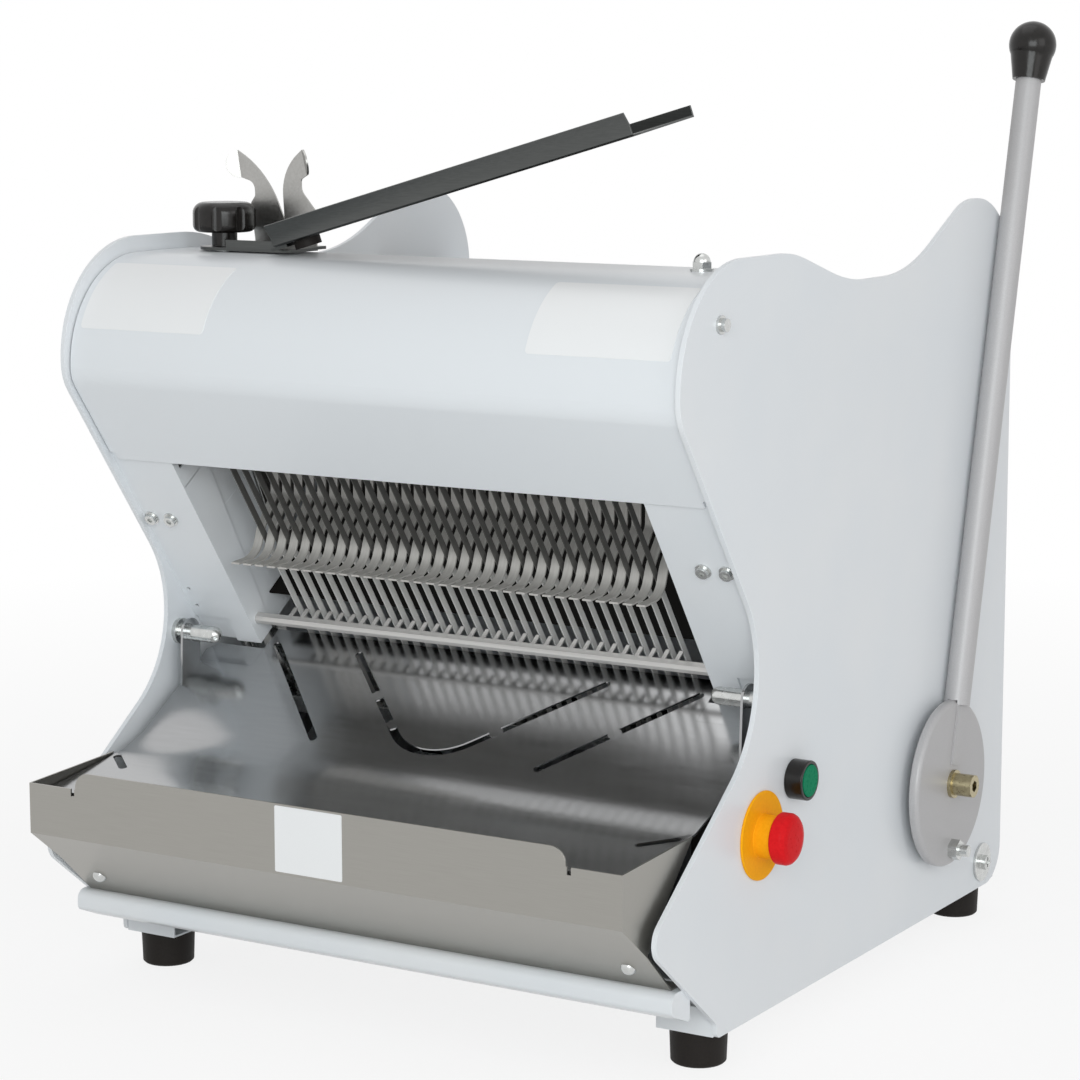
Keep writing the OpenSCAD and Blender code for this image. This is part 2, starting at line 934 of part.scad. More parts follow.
// Drive
bearing_x = -belt_x - belt_width - 37;
bearing_width = 20;
module crank_shaft() {
    color(zinc)
        leaned()
            union() {
                bar(belt_x - 6, bearing_x + bearing_width + 8, 0, crank_height, crank_radius);
                bar(strap_x, strap_x + strap_width, half_stroke, crank_height, eccentric_radius);
                bar(-strap_x - strap_width, -strap_x, -half_stroke, crank_height, eccentric_radius);
            }
}
module crank_pulley() {
    color(grey)
        difference() {
            bar(belt_x, belt_x + belt_width, crank[0], crank[1], big_pulley);
            bar(belt_x - 1, belt_x + belt_width + 1, crank[0], crank[1], crank_radius + running_play);
            for (a = [45:90:315])
                bar(belt_x - 1, belt_x + belt_width + 1, crank[0] + 31 * cos(a), crank[1] + 31 * sin(a), 12);
        }
}
module bearing_blocks() {
    color(grey)
        difference() {
            for (x = [-bearing_x - bearing_width, bearing_x])
                union() {
                    box(x, x + bearing_width, crank[0] - 24, crank[0] + 24, pan_top, crank[1]);
                    bar(x, x + bearing_width, crank[0], crank[1], 24);
                }
            bar(-half, half, crank[0], crank[1], crank_radius + running_play);
        }
}
module motor_body() {
    x0 = -bearing_x;
    x1 = bearing_x - 40;
    color(grey)
        difference() {
            union() {
                bar(x0, x1, motor[0], motor[1], motor_radius);
                for (x = [x0 + 30, x1 - 60])
                    box(x, x + 30, motor[0] - 45, motor[0] + 45, pan_top, motor[1]);
                box(-60, 40, motor[0] - 35, motor[0] + 30, motor[1], motor[1] + motor_radius + 14);
            }
            bar(x0 - 1, x0 + 45, motor[0], motor[1], motor_shaft + running_play);
        }
}
module motor_pulley() {
    color(grey)
        union() {
            bar(belt_x, belt_x + belt_width, motor[0], motor[1], small_pulley);
            bar(belt_x - 4, -bearing_x + 40, motor[0], motor[1], motor_shaft);
        }
}
function belt_outline(extra) =
    let (d = motor - crank)
    let (aim = bearing(d), open = acos((big_pulley - small_pulley) / norm(d)))
    concat(
        fillet_arc(crank, big_pulley + extra, aim + open, 360 - 2 * open, 20),
        fillet_arc(motor, small_pulley + extra, aim - open, 2 * open, 12));
module drive_belt() {
    color(rubber)
        difference() {
            slab(belt_outline(belt_play + belt_thickness), belt_x + 1, belt_x + belt_width - 1);
            slab(belt_outline(belt_play), belt_x, belt_x + belt_width);
        }
}

// Buttons
bezel_height = 15;
module start_bezel() {
    color(rubber)
        difference() {
            bar(outer, outer + bezel_height, start_y, start_z, start_diameter / 2 + 3.2);
            bar(outer - 1, outer + bezel_height + 1, start_y, start_z, start_diameter / 2 + running_play);
        }
}
module start_cap() {
    color(green)
        bar(outer + 4, outer + bezel_height + 0.5, start_y, start_z, start_diameter / 2);
}
collar_top = outer + 15;
collar_radius = 17;
head_base = collar_top + 1;
head_hollow = 4.5;
stem_radius = 8;
module stop_plate() {
    color(yellow)
        difference() {
            union() {
                bar(outer, outer + 2, stop_y, stop_z, 34.5);
                bar(outer + 2, collar_top, stop_y, stop_z, collar_radius);
            }
            bar(outer - 1, collar_top + 1, stop_y, stop_z, stem_radius + running_play);
        }
}
module stop_stem() {
    color(zinc)
        bar(half - 2, head_base + head_hollow, stop_y, stop_z, stem_radius);
}
module stop_head() {
    r = stop_diameter / 2;
    color(red)
        translate([head_base, stop_y, stop_z])
            rotate([0, 90, 0])
                rotate_extrude()
                    polygon([
                        [0, head_hollow], [collar_radius + 0.6, head_hollow], [collar_radius + 0.6, 0],
                        [r - 0.8, 0], [r, 1], [r, 8], [r - 0.8, 10], [r - 3, 12], [r - 7, 13], [0, 13.5]]);
}
module contact_block() {
    color(rubber)
        for (p = [[start_y, start_z], [stop_y, stop_z]])
            difference() {
                box(half - 46, half, p[0] - 19, p[0] + 19, p[1] - 19, p[1] + 19);
                bar(half - 7, half + 1, p[0], p[1], stem_radius + 1);
            }
}
module cable_gland() {
    color(rubber)
        translate([93 - half, rear_inner + sheet, 80])
            rotate([-90, 0, 0])
                difference() {
                    union() {
                        cylinder(h = 6, r = 13, $fn = 6);
                        cylinder(h = 16, r = 9);
                    }
                    translate([0, 0, 4])
                        cylinder(h = 20, r = 4.5);
                }
}

// Bag scoop
scoop_front = stud_y - 37;
scoop_x = stud_x + 74;
scoop_z = strap_bottom + 5.8;
strap_thickness = 2.5;
module risen() {
    translate([scoop_x, scoop_front, scoop_z])
        rotate([0, -scoop_rise, 0])
            rotate([scoop_tilt, 0, 0])
                children();
}
module scoop_shelf() {
    lip = [
        [3, -steel], [0, 0], [0, 7.5], [-4, 17.2], [-2.5, 17.7], [steel, 8], [steel, 2], [3, 0]];
    color(stainless)
        risen()
            union() {
                box(2, scoop_length, 3, scoop_depth, -steel, 0);
                slab(lip, 2, scoop_length - 6);
                box(2, scoop_length, scoop_depth - steel, scoop_depth, -1, 8);
            }
}
module scoop_strap() {
    z1 = strap_bottom + strap_thickness;
    color(stainless)
        difference() {
            union() {
                translate([stud_x, stud_y, strap_bottom])
                    cylinder(h = strap_thickness, r = 20);
                box(stud_x, scoop_x + 6, stud_y - 20, stud_y + 20, strap_bottom, z1);
                box(stud_x, scoop_x - 2, stud_y + 10, stud_y + 43, strap_bottom, z1);
                box(stud_x + 16, scoop_x - 6, stud_y - 20, stud_y - 18, strap_bottom, strap_bottom + 9);
                risen()
                    box(-6, 10, 8, 30, -steel - strap_thickness, -steel);
            }
            translate([stud_x, stud_y, strap_bottom - 1])
                cylinder(h = strap_thickness + 2, r = 5 + running_play);
        }
}
prong_y = -150;
prong_foot = strap_bottom + strap_thickness;
prong_x = stud_x + 37;
module prong_plate(outline) {
    translate([0, prong_y, 0])
        rotate([90, 0, 0])
            linear_extrude(steel)
                polygon(outline);
}
module prong_tip(low, high, way) {
    r = norm(high - low) / 2;
    mid = (low + high) / 2;
    translate([mid[0], prong_y - steel / 2, mid[1]])
        rotate([0, 90 - bearing(high - low), 0])
            rotate([0, 0, -45 * way])
                union() {
                    translate([0, steel / 2, 0])
                        rotate([90, 0, 0])
                            intersection() {
                                cylinder(h = steel, r = r);
                                translate([way * r - r, -r, 0])
                                    cube([2 * r, 2 * r, steel]);
                            }
                    translate([0, 0, -r])
                        cylinder(h = 2 * r, r = steel / 2);
                }
}
module bag_prongs() {
    left_low = [-44.3, 55.2];
    left_high = [-48, 77.7];
    right_low = [23.2, 58.2];
    right_high = [18.1, 78.9];
    color(stainless)
        translate([prong_x, 0, prong_foot])
            union() {
                prong_plate(rounded([
                    [-30, 0, 0], [-0.2, 0, 0], [-0.2, 21.2, 0], [-19, 62.2, 90],
                    [left_high[0], left_high[1], 0], [left_low[0], left_low[1], 0],
                    [-30.5, 51.2, 8], [-30, 40.2, 3], [-34.5, 34.2, 3]]));
                prong_plate(rounded([
                    [1, 0, 0], [32, 0, 0], [32, 28.2, 6], [17, 45.2, 10],
                    [17, 54.7, 3], [right_low[0], right_low[1], 0],
                    [right_high[0], right_high[1], 0], [-2.5, 62.2, 40]]));
                box(-30, 32, prong_y - steel, prong_y, 0, 8);
                prong_tip(left_low, left_high, -1);
                prong_tip(right_low, right_high, 1);
            }
}
module scoop_pad() {
    color(rubber)
        risen()
            translate([23, 19, -steel - 7])
                cylinder(h = 7, r = 11);
}
module clamp_knob() {
    base = strap_bottom + strap_thickness + play;
    color(rubber)
        translate([stud_x, stud_y, base])
            difference() {
                union() {
                    cylinder(h = 12, r = 10.5);
                    rotate_extrude()
                        polygon(rounded([[0, 11.4, 0], [26, 11.4, 6], [26, 36, 9], [0, 36, 0]]));
                }
                for (a = [22.5:45:337.5])
                    translate([31 * cos(a), 31 * sin(a), 5])
                        cylinder(h = 40, r = 7);
                translate([0, 0, -1])
                    cylinder(h = 26, r = 5 + running_play);
            }
}

side_panel_right();
side_panel_left();
base_pan();
foot_brackets();
rubber_feet();
front_rail();
rear_cover();
hood();
hood_back();
hood_fasteners();
scoop_stud();
panel_screws();
post_right();
post_left();
post_screws();
channel_wall_right();
channel_wall_left();
infeed_bed();
bed_comb();
hold_comb();
chute();
chute_pins();
tray();
tray_screws();
lever_disc();
lever_tube();
lever_knob();
lever_bolt();
stop_bolt();
lever_shaft();
shaft_bushes();
swing_arms();
pusher_comb();
pusher_pin();
blade_bars_rear();
blade_bars_front();
blades_rear();
blades_front();
rod_rear();
rod_front();
guide_rods();
guide_brackets();
crank_shaft();
crank_pulley();
bearing_blocks();
motor_body();
motor_pulley();
drive_belt();
start_bezel();
start_cap();
stop_plate();
stop_stem();
stop_head();
contact_block();
cable_gland();
scoop_shelf();
scoop_strap();
bag_prongs();
scoop_pad();
clamp_knob();
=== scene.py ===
import math

import bmesh
import bpy
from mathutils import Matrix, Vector


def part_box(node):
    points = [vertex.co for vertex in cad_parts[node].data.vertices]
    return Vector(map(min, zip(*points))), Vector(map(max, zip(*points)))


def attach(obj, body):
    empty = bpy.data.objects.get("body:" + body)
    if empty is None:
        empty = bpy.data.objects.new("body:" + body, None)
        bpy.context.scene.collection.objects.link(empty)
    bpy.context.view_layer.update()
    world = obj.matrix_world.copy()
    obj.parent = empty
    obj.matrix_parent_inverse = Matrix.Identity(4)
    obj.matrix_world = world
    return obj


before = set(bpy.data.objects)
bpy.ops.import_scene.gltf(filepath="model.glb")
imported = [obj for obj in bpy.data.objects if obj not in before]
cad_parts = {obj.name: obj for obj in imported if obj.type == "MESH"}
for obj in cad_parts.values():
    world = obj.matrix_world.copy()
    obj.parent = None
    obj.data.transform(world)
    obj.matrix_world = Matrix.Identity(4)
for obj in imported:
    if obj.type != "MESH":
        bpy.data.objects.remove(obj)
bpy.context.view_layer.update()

# Base pan, foot brackets and side panels
# Laser-cut steel sheet, folded and powder coated white, bolted together through the sides.
# The coat has a soft gloss, a fine orange peel and a faint blue cast.
grain_low, grain_high = 0.3, 0.7
corner_weld = 0.00002
sharpest_bend, eased_angle = math.radians(28), math.radians(38)


def new_finish(name, color, metallic, roughness, specular=0.5):
    """A new material and its surface shader."""
    finish = bpy.data.materials.new(name)
    finish.use_nodes = True
    shader = finish.node_tree.nodes["Principled BSDF"]
    shader.inputs["Base Color"].default_value = (*color, 1)
    shader.inputs["Metallic"].default_value = metallic
    shader.inputs["Roughness"].default_value = roughness
    shader.inputs["Specular IOR Level"].default_value = specular
    return finish, shader


def add_node(finish, kind, **values):
    """A node of a finish, with values for its sockets; _ stands for a space in their names."""
    node = finish.node_tree.nodes.new(kind)
    for socket, value in values.items():
        node.inputs[socket.replace("_", " ")].default_value = value
    return node


def grain(finish, stretch, detail):
    """Noise in the piece's own metres; stretch is grains per metre along X, Y and Z."""
    place = add_node(finish, "ShaderNodeTexCoord")
    scaled = add_node(finish, "ShaderNodeMapping", Scale=stretch)
    noise = add_node(finish, "ShaderNodeTexNoise", Scale=1.0, Detail=detail)
    finish.node_tree.links.new(place.outputs["Object"], scaled.inputs["Vector"])
    finish.node_tree.links.new(scaled.outputs["Vector"], noise.inputs["Vector"])
    return noise.outputs["Fac"]


def tone(finish, shader, amount, dark, light):
    """Base colour from dark to light with a grain."""
    ramp = finish.node_tree.nodes.new("ShaderNodeValToRGB")
    for stop, place, color in zip(ramp.color_ramp.elements, (grain_low, grain_high), (dark, light)):
        stop.position = place
        stop.color = (*color, 1)
    finish.node_tree.links.new(amount, ramp.inputs["Fac"])
    finish.node_tree.links.new(ramp.outputs["Color"], shader.inputs["Base Color"])


def sheen(finish, shader, amount, low, high):
    """Roughness from low to high with a grain."""
    span = add_node(finish, "ShaderNodeMapRange",
                    From_Min=grain_low, From_Max=grain_high, To_Min=low, To_Max=high)
    finish.node_tree.links.new(amount, span.inputs["Value"])
    finish.node_tree.links.new(span.outputs["Result"], shader.inputs["Roughness"])


def relief(finish, shader, amount, strength, depth):
    """Fine bumps of the surface, depth in metres."""
    bump = add_node(finish, "ShaderNodeBump", Strength=strength, Distance=depth)
    finish.node_tree.links.new(amount, bump.inputs["Height"])
    finish.node_tree.links.new(bump.outputs["Normal"], shader.inputs["Normal"])


def fold_shading(crease):
    """Modifier group that joins split corners and shades smooth over folds below crease."""
    group = bpy.data.node_groups.new("fold_shading", "GeometryNodeTree")
    group.interface.new_socket("Geometry", in_out="INPUT", socket_type="NodeSocketGeometry")
    group.interface.new_socket("Geometry", in_out="OUTPUT", socket_type="NodeSocketGeometry")
    steps = [group.nodes.new(kind) for kind in (
        "NodeGroupInput", "GeometryNodeRemoveAttribute", "GeometryNodeMergeByDistance",
        "GeometryNodeSetShadeSmooth", "GeometryNodeSetShadeSmooth", "NodeGroupOutput")]
    forget, weld, crisp = steps[1], steps[2], steps[4]
    forget.inputs["Name"].default_value = "custom_normal"
    weld.inputs["Distance"].default_value = corner_weld
    crisp.domain = "EDGE"
    crisp.inputs["Shade Smooth"].default_value = False
    fold = group.nodes.new("GeometryNodeInputMeshEdgeAngle")
    steep = group.nodes.new("FunctionNodeCompare")
    steep.operation = "GREATER_THAN"
    steep.inputs[1].default_value = crease
    group.links.new(fold.outputs["Unsigned Angle"], steep.inputs[0])
    group.links.new(steep.outputs["Result"], crisp.inputs["Selection"])
    for before, after in zip(steps, steps[1:]):
        group.links.new(before.outputs[0], after.inputs[0])
    return group


smooth_folds = fold_shading(sharpest_bend)


def dress(node, finish, edge=0.0):
    """Gives a CAD node its finish, smooth shading over its bends, and eased edges."""
    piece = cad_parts[node]
    piece.data.materials.clear()
    piece.data.materials.append(finish)
    bends = piece.modifiers.new("bends", "NODES")
    bends.node_group = smooth_folds
    if edge:
        eased = piece.modifiers.new("eased_edges", "BEVEL")
        eased.width = edge
        eased.segments = 2
        eased.limit_method = "ANGLE"
        eased.angle_limit = eased_angle
        eased.use_clamp_overlap = True
    flats = piece.modifiers.new("flats", "WEIGHTED_NORMAL")
    flats.keep_sharp = True


powder_coat, coat_shader = new_finish("powder_coat_white", (0.77, 0.795, 0.82), 0.0, 0.36)
coat_shader.inputs["Coat Weight"].default_value = 0.2
coat_shader.inputs["Coat Roughness"].default_value = 0.2
coat_cloud = grain(powder_coat, (9, 9, 9), 2)
tone(powder_coat, coat_shader, coat_cloud, (0.755, 0.785, 0.815), (0.785, 0.805, 0.825))
orange_peel = grain(powder_coat, (620, 620, 620), 2)
sheen(powder_coat, coat_shader, orange_peel, 0.33, 0.4)
relief(powder_coat, coat_shader, orange_peel, 0.1, 0.0002)
for node in ("base_pan", "foot_brackets"):
    dress(node, powder_coat, 0.0005)
for node in ("side_panel_right", "side_panel_left"):
    dress(node, powder_coat, 0.0008)

# Feet
# Four black rubber feet, moulded with a slight taper and screwed up into the base from below.
rubber, rubber_shader = new_finish("black_rubber", (0.012, 0.01, 0.009), 0.0, 0.6, 0.2)
rubber_grain = grain(rubber, (900, 900, 900), 3)
tone(rubber, rubber_shader, rubber_grain, (0.008, 0.006, 0.005), (0.016, 0.013, 0.011))
sheen(rubber, rubber_shader, rubber_grain, 0.5, 0.68)
relief(rubber, rubber_shader, rubber_grain, 0.2, 0.0003)
dress("rubber_feet", rubber, 0.0008)

# Motor, bearing blocks, pulleys, connecting rods and belt
# Grey cast iron and a painted motor on the base pan, with a black belt to the crank.
# The panels hide it until the chute is raised.
casting, casting_shader = new_finish("grey_casting", (0.16, 0.165, 0.17), 0.3, 0.6)
sand = grain(casting, (350, 350, 350), 5)
tone(casting, casting_shader, sand, (0.13, 0.135, 0.14), (0.2, 0.205, 0.21))
relief(casting, casting_shader, sand, 0.3, 0.0005)
for node in ("motor_body", "motor_pulley", "bearing_blocks", "crank_pulley",
             "rod_rear", "rod_front", "guide_brackets"):
    dress(node, casting, 0.0006)
dress("drive_belt", rubber)

# Crank shaft, guide rods, blade frames and lever shaft
# Turned and milled steel with bright zinc plate, blue-white and slightly clouded.
zinc_plate, zinc_shader = new_finish("bright_zinc", (0.6, 0.61, 0.6), 1.0, 0.24)
zinc_cloud = grain(zinc_plate, (140, 140, 140), 4)
tone(zinc_plate, zinc_shader, zinc_cloud, (0.52, 0.53, 0.52), (0.66, 0.67, 0.66))
sheen(zinc_plate, zinc_shader, zinc_cloud, 0.18, 0.32)
for node in ("crank_shaft", "guide_rods", "blade_bars_rear", "blade_bars_front",
             "lever_shaft", "swing_arms", "pusher_pin"):
    dress(node, zinc_plate, 0.0004)

# Blades
# Thin strips of tempered steel, tensioned in two frames.
# Below a set height they are light steel; above it their colour is painted near black, as painted
# shade under the hood.
strip_steel, strip_shader = new_finish("blade_steel_painted_shade", (0.6, 0.59, 0.57), 0.15, 0.42)
# Painted shade: the mask is 1 below this height and 0 above it, blending the near-black upper tone
# into the light lower tone.
shade_line_height, shade_line_fade = 0.352, 0.006
strip_place = add_node(strip_steel, "ShaderNodeTexCoord")
strip_height = add_node(strip_steel, "ShaderNodeSeparateXYZ")
below_shade_line = add_node(strip_steel, "ShaderNodeMapRange",
                  From_Min=shade_line_height + shade_line_fade, From_Max=shade_line_height - shade_line_fade)
strip_links = strip_steel.node_tree.links
strip_links.new(strip_place.outputs["Object"], strip_height.inputs["Vector"])
strip_links.new(strip_height.outputs["Z"], below_shade_line.inputs["Value"])
tone(strip_steel, strip_shader, below_shade_line.outputs["Result"],
     (0.1, 0.097, 0.092), (0.76, 0.75, 0.73))
sheen(strip_steel, strip_shader, grain(strip_steel, (90, 500, 30), 3), 0.36, 0.5)
for node in ("blades_rear", "blades_front"):
    dress(node, strip_steel)

# Loaf bed
# Black slide plate behind the blades, rubbed along the way the loaf travels.
slide_plate, slide_shader = new_finish("black_slide_plate", (0.008, 0.007, 0.007), 0.0, 0.7, 0.06)
slide_wear = grain(slide_plate, (40, 8, 40), 4)
tone(slide_plate, slide_shader, slide_wear, (0.005, 0.0045, 0.004), (0.011, 0.01, 0.009))
sheen(slide_plate, slide_shader, slide_wear, 0.62, 0.78)
dress("infeed_bed", slide_plate)

# Channel walls and pusher
# Folded stainless sheet, brushed along the loaf channel; the pusher's ribs are welded to its plate.
brushed_steel, brushed_shader = new_finish("brushed_stainless", (0.42, 0.415, 0.4), 1.0, 0.32)
brushing = grain(brushed_steel, (520, 9, 520), 3)
tone(brushed_steel, brushed_shader, brushing, (0.39, 0.385, 0.37), (0.45, 0.445, 0.43))
sheen(brushed_steel, brushed_shader, brushing, 0.28, 0.36)
for node in ("channel_wall_right", "channel_wall_left", "pusher_comb"):
    dress(node, brushed_steel, 0.0003)

# Hold-down comb
# Fingers of stainless strip, bent to a wave and welded to a cross bar, left dull from the bending.
finger_steel, finger_shader = new_finish("dull_finger_steel", (0.5, 0.485, 0.46), 0.2, 0.46)
finger_rub = grain(finger_steel, (700, 60, 60), 3)
tone(finger_steel, finger_shader, finger_rub, (0.46, 0.445, 0.42), (0.54, 0.525, 0.5))
sheen(finger_steel, finger_shader, finger_rub, 0.36, 0.48)
dress("hold_comb", finger_steel)

# Bed comb
# Bright stainless lip folded down in front of the blades, with a short tooth towards each blade.
lip_steel, lip_shader = new_finish("polished_lip_steel", (0.58, 0.57, 0.555), 0.5, 0.34)
lip_rub = grain(lip_steel, (6, 400, 400), 3)
tone(lip_steel, lip_shader, lip_rub, (0.53, 0.52, 0.505), (0.63, 0.62, 0.605))
sheen(lip_steel, lip_shader, lip_rub, 0.28, 0.4)
dress("bed_comb", lip_steel, 0.0002)

# Front posts and their screws
# White folded sheet beside the blades, each held by two plated button-head screws.
for node in ("post_right", "post_left"):
    dress(node, powder_coat)
dress("post_screws", zinc_plate, 0.0006)

# Post cheeks and skirts
# White sheet offcuts spot welded behind each post: a cheek that closes the side of the blade
# opening up to the hood, and a skirt behind the chute pin.
lean = math.radians(35)
cut_line = Vector((0, -0.1426, 0.299))
channel_half = 0.220
cheek_sheet = 0.0015
rear_cheek_gap = 0.0022
skirt_face = -0.0243


def leaned(x, y, z):
    """A point of the leaned blade frame, in the machine's frame."""
    return cut_line + Vector((x, y * math.cos(lean) - z * math.sin(lean),
                              y * math.sin(lean) + z * math.cos(lean)))


def cut_sheet(name, blanks):
    """Flat sheet blanks; each is an outline in space and the step through its thickness."""
    sheet_mesh = bmesh.new()
    for outline, through in blanks:
        near = [sheet_mesh.verts.new(point) for point in outline]
        far = [sheet_mesh.verts.new(point + through) for point in outline]
        sheet_mesh.faces.new(near)
        sheet_mesh.faces.new(far[::-1])
        for i, point in enumerate(near):
            sheet_mesh.faces.new((near[i - 1], far[i - 1], far[i], point))
    bmesh.ops.recalc_face_normals(sheet_mesh, faces=sheet_mesh.faces)
    data = bpy.data.meshes.new(name)
    sheet_mesh.to_mesh(data)
    sheet_mesh.free()
    piece = bpy.data.objects.new(name, data)
    bpy.context.scene.collection.objects.link(piece)
    return piece


upper_cheek = [(-0.0244, 0.149), (0.010, 0.149), (0.0115, 0.166),
               (-0.0208, 0.166), (-0.0208, 0.192), (-0.0244, 0.192)]
rear_cheek = [(0.004, 0.099), (0.0465, 0.099), (0.0465, 0.116),
              (0.024, 0.140), (0.012, 0.150), (0.008, 0.150)]
skirt = [(0.2446, -0.0275), (0.274, -0.0275), (0.2784, -0.023), (0.2784, 0.006), (0.2446, 0.006)]
for side, name in ((1, "post_cheek_right"), (-1, "post_cheek_left")):
    outward = Vector((side * cheek_sheet, 0, 0))
    rear_face = side * (channel_half + rear_cheek_gap)
    cheek = cut_sheet(name, [
        ([leaned(side * channel_half, y, z) for y, z in upper_cheek], outward),
        ([leaned(rear_face, y, z) for y, z in rear_cheek], outward),
        ([leaned(side * x, skirt_face, z) for x, z in skirt],
         leaned(0, cheek_sheet, 0) - cut_line)])
    cheek.data.materials.append(powder_coat)
    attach(cheek, "casing")

# Hood, its back plate and its fasteners
# One white sheet rolled over the blades, open below, with a plated cap nut on top.
# Its inside faces get a near-black colour, painted shade for the dark hollow under the hood.
hood_coat_painted_shade, hood_shade_shader = new_finish("powder_coat_painted_shade_inside", (0.77, 0.795, 0.82), 0.0, 0.36)
hood_shade_shader.inputs["Coat Weight"].default_value = 0.2
hood_shade_shader.inputs["Coat Roughness"].default_value = 0.2
hood_peel = grain(hood_coat_painted_shade, (620, 620, 620), 2)
sheen(hood_coat_painted_shade, hood_shade_shader, hood_peel, 0.33, 0.4)
relief(hood_coat_painted_shade, hood_shade_shader, hood_peel, 0.1, 0.0002)
# Painted shade: faces turned towards a point inside the hood's roll get the near-black tone, and
# faces turned away keep the white coat.
hollow_middle, shade_edge_width = (0, -0.215, 0.5), 0.001
hood_place = add_node(hood_coat_painted_shade, "ShaderNodeTexCoord")
from_middle = add_node(hood_coat_painted_shade, "ShaderNodeVectorMath")
from_middle.operation = "SUBTRACT"
from_middle.inputs[1].default_value = hollow_middle
facing_out = add_node(hood_coat_painted_shade, "ShaderNodeVectorMath")
facing_out.operation = "DOT_PRODUCT"
outside = add_node(hood_coat_painted_shade, "ShaderNodeMapRange", From_Min=-shade_edge_width, From_Max=shade_edge_width)
hood_shade_links = hood_coat_painted_shade.node_tree.links
hood_shade_links.new(hood_place.outputs["Object"], from_middle.inputs[0])
hood_shade_links.new(from_middle.outputs["Vector"], facing_out.inputs[0])
hood_shade_links.new(hood_place.outputs["Normal"], facing_out.inputs[1])
hood_shade_links.new(facing_out.outputs["Value"], outside.inputs["Value"])
tone(hood_coat_painted_shade, hood_shade_shader, outside.outputs["Result"],
     (0.02, 0.019, 0.018), (0.77, 0.795, 0.82))
for node in ("hood", "hood_back"):
    dress(node, hood_coat_painted_shade, 0.0005)
dress("hood_fasteners", zinc_plate, 0.0005)

# Blank plates on the hood
# White foil plates stuck on the hood's upper curve, left bare, with rounded corners.
foil_thickness, foil_sunk = 0.0003, 0.0001
hood_plate_width, hood_plate_height, hood_plate_corner = 0.122, 0.070, 0.003
hood_plate_start = math.radians(21)
foil_crease = math.radians(40)


def foil_plate(name, width, height, corner, place):
    """Thin plate with rounded corners; place(u, v, lift) bends it onto what carries it."""
    rows, columns = 28, 14
    plate_mesh = bmesh.new()
    layers = []
    for lift in (-foil_sunk, foil_thickness):
        layer = []
        for j in range(rows + 1):
            v = height * (1 - math.cos(math.pi * j / rows)) / 2
            near = max(0.0, corner - min(v, height - v))
            inset = corner - math.sqrt(corner * corner - near * near)
            half_row = width / 2 - inset
            layer.append([plate_mesh.verts.new(place(half_row * (2 * i / columns - 1), v, lift))
                          for i in range(columns + 1)])
        layers.append(layer)
    low, high = layers
    for j in range(rows):
        for i in range(columns):
            plate_mesh.faces.new((high[j][i], high[j][i + 1],
                                  high[j + 1][i + 1], high[j + 1][i]))
            plate_mesh.faces.new((low[j][i], low[j + 1][i], low[j + 1][i + 1], low[j][i + 1]))
        plate_mesh.faces.new((low[j][0], high[j][0], high[j + 1][0], low[j + 1][0]))
        plate_mesh.faces.new((low[j][-1], low[j + 1][-1], high[j + 1][-1], high[j][-1]))
    for i in range(columns):
        plate_mesh.faces.new((low[0][i], low[0][i + 1], high[0][i + 1], high[0][i]))
        plate_mesh.faces.new((low[-1][i], high[-1][i], high[-1][i + 1], low[-1][i + 1]))
    bmesh.ops.recalc_face_normals(plate_mesh, faces=plate_mesh.faces)
    for face in plate_mesh.faces:
        face.smooth = True
    for edge in plate_mesh.edges:
        edge.smooth = edge.calc_face_angle(0.0) < foil_crease
    data = bpy.data.meshes.new(name)
    plate_mesh.to_mesh(data)
    plate_mesh.free()
    plate = bpy.data.objects.new(name, data)
    bpy.context.scene.collection.objects.link(plate)
    return plate


foil, foil_shader = new_finish("white_foil", (0.86, 0.865, 0.87), 0.0, 0.3)
foil_haze = grain(foil, (1400, 1400, 1400), 2)
tone(foil, foil_shader, foil_haze, (0.855, 0.86, 0.865), (0.865, 0.87, 0.875))
sheen(foil, foil_shader, foil_haze, 0.28, 0.34)
hood_low, hood_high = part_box("hood")
roll_radius = 0.088
roll_y, roll_z = hood_low[1] + roll_radius, hood_high[2] - roll_radius


def on_roll(middle, start):
    """Place on the hood's roll, from a start angle above the front tangent."""
    def place(u, v, lift):
        angle = start + v / roll_radius
        reach = roll_radius + lift
        return Vector((middle + u, roll_y - reach * math.cos(angle),
                       roll_z + reach * math.sin(angle)))
    return place


for name, middle in (("hood_plate_left", -0.210), ("hood_plate_right", 0.208)):
    hood_plate = foil_plate(name, hood_plate_width, hood_plate_height, hood_plate_corner,
                            on_roll(middle, hood_plate_start))
    hood_plate.data.materials.append(foil)
    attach(hood_plate, "casing")

# Chute and its pins
# Bright rolled stainless sheet with crumb slots, folded twice and hung on two plated side pins.
rolled_steel, rolled_shader = new_finish("bright_rolled_stainless", (0.4, 0.405, 0.41), 1.0, 0.17)
rolling = grain(rolled_steel, (30, 260, 260), 2)
tone(rolled_steel, rolled_shader, rolling, (0.39, 0.395, 0.4), (0.41, 0.415, 0.42))
sheen(rolled_steel, rolled_shader, rolling, 0.15, 0.19)
dress("chute", rolled_steel, 0.0003)
dress("chute_pins", zinc_plate, 0.0004)

# Chute wings and slot bridges
# The chute's upper corners run on under the posts, in the same stainless sheet.
# Short bridges are left uncut in its slots.
slope = math.radians(32)
chute_line = Vector((0, -0.1656, 0.249))
chute_sheet, bridge_lift = 0.0015, 0.00004


def on_chute(x, up, lift=0.0):
    """A point of the chute's face: across, up the slope, and above the face."""
    return chute_line + Vector((x, up * math.cos(slope) - lift * math.sin(slope),
                                up * math.sin(slope) + lift * math.cos(slope)))


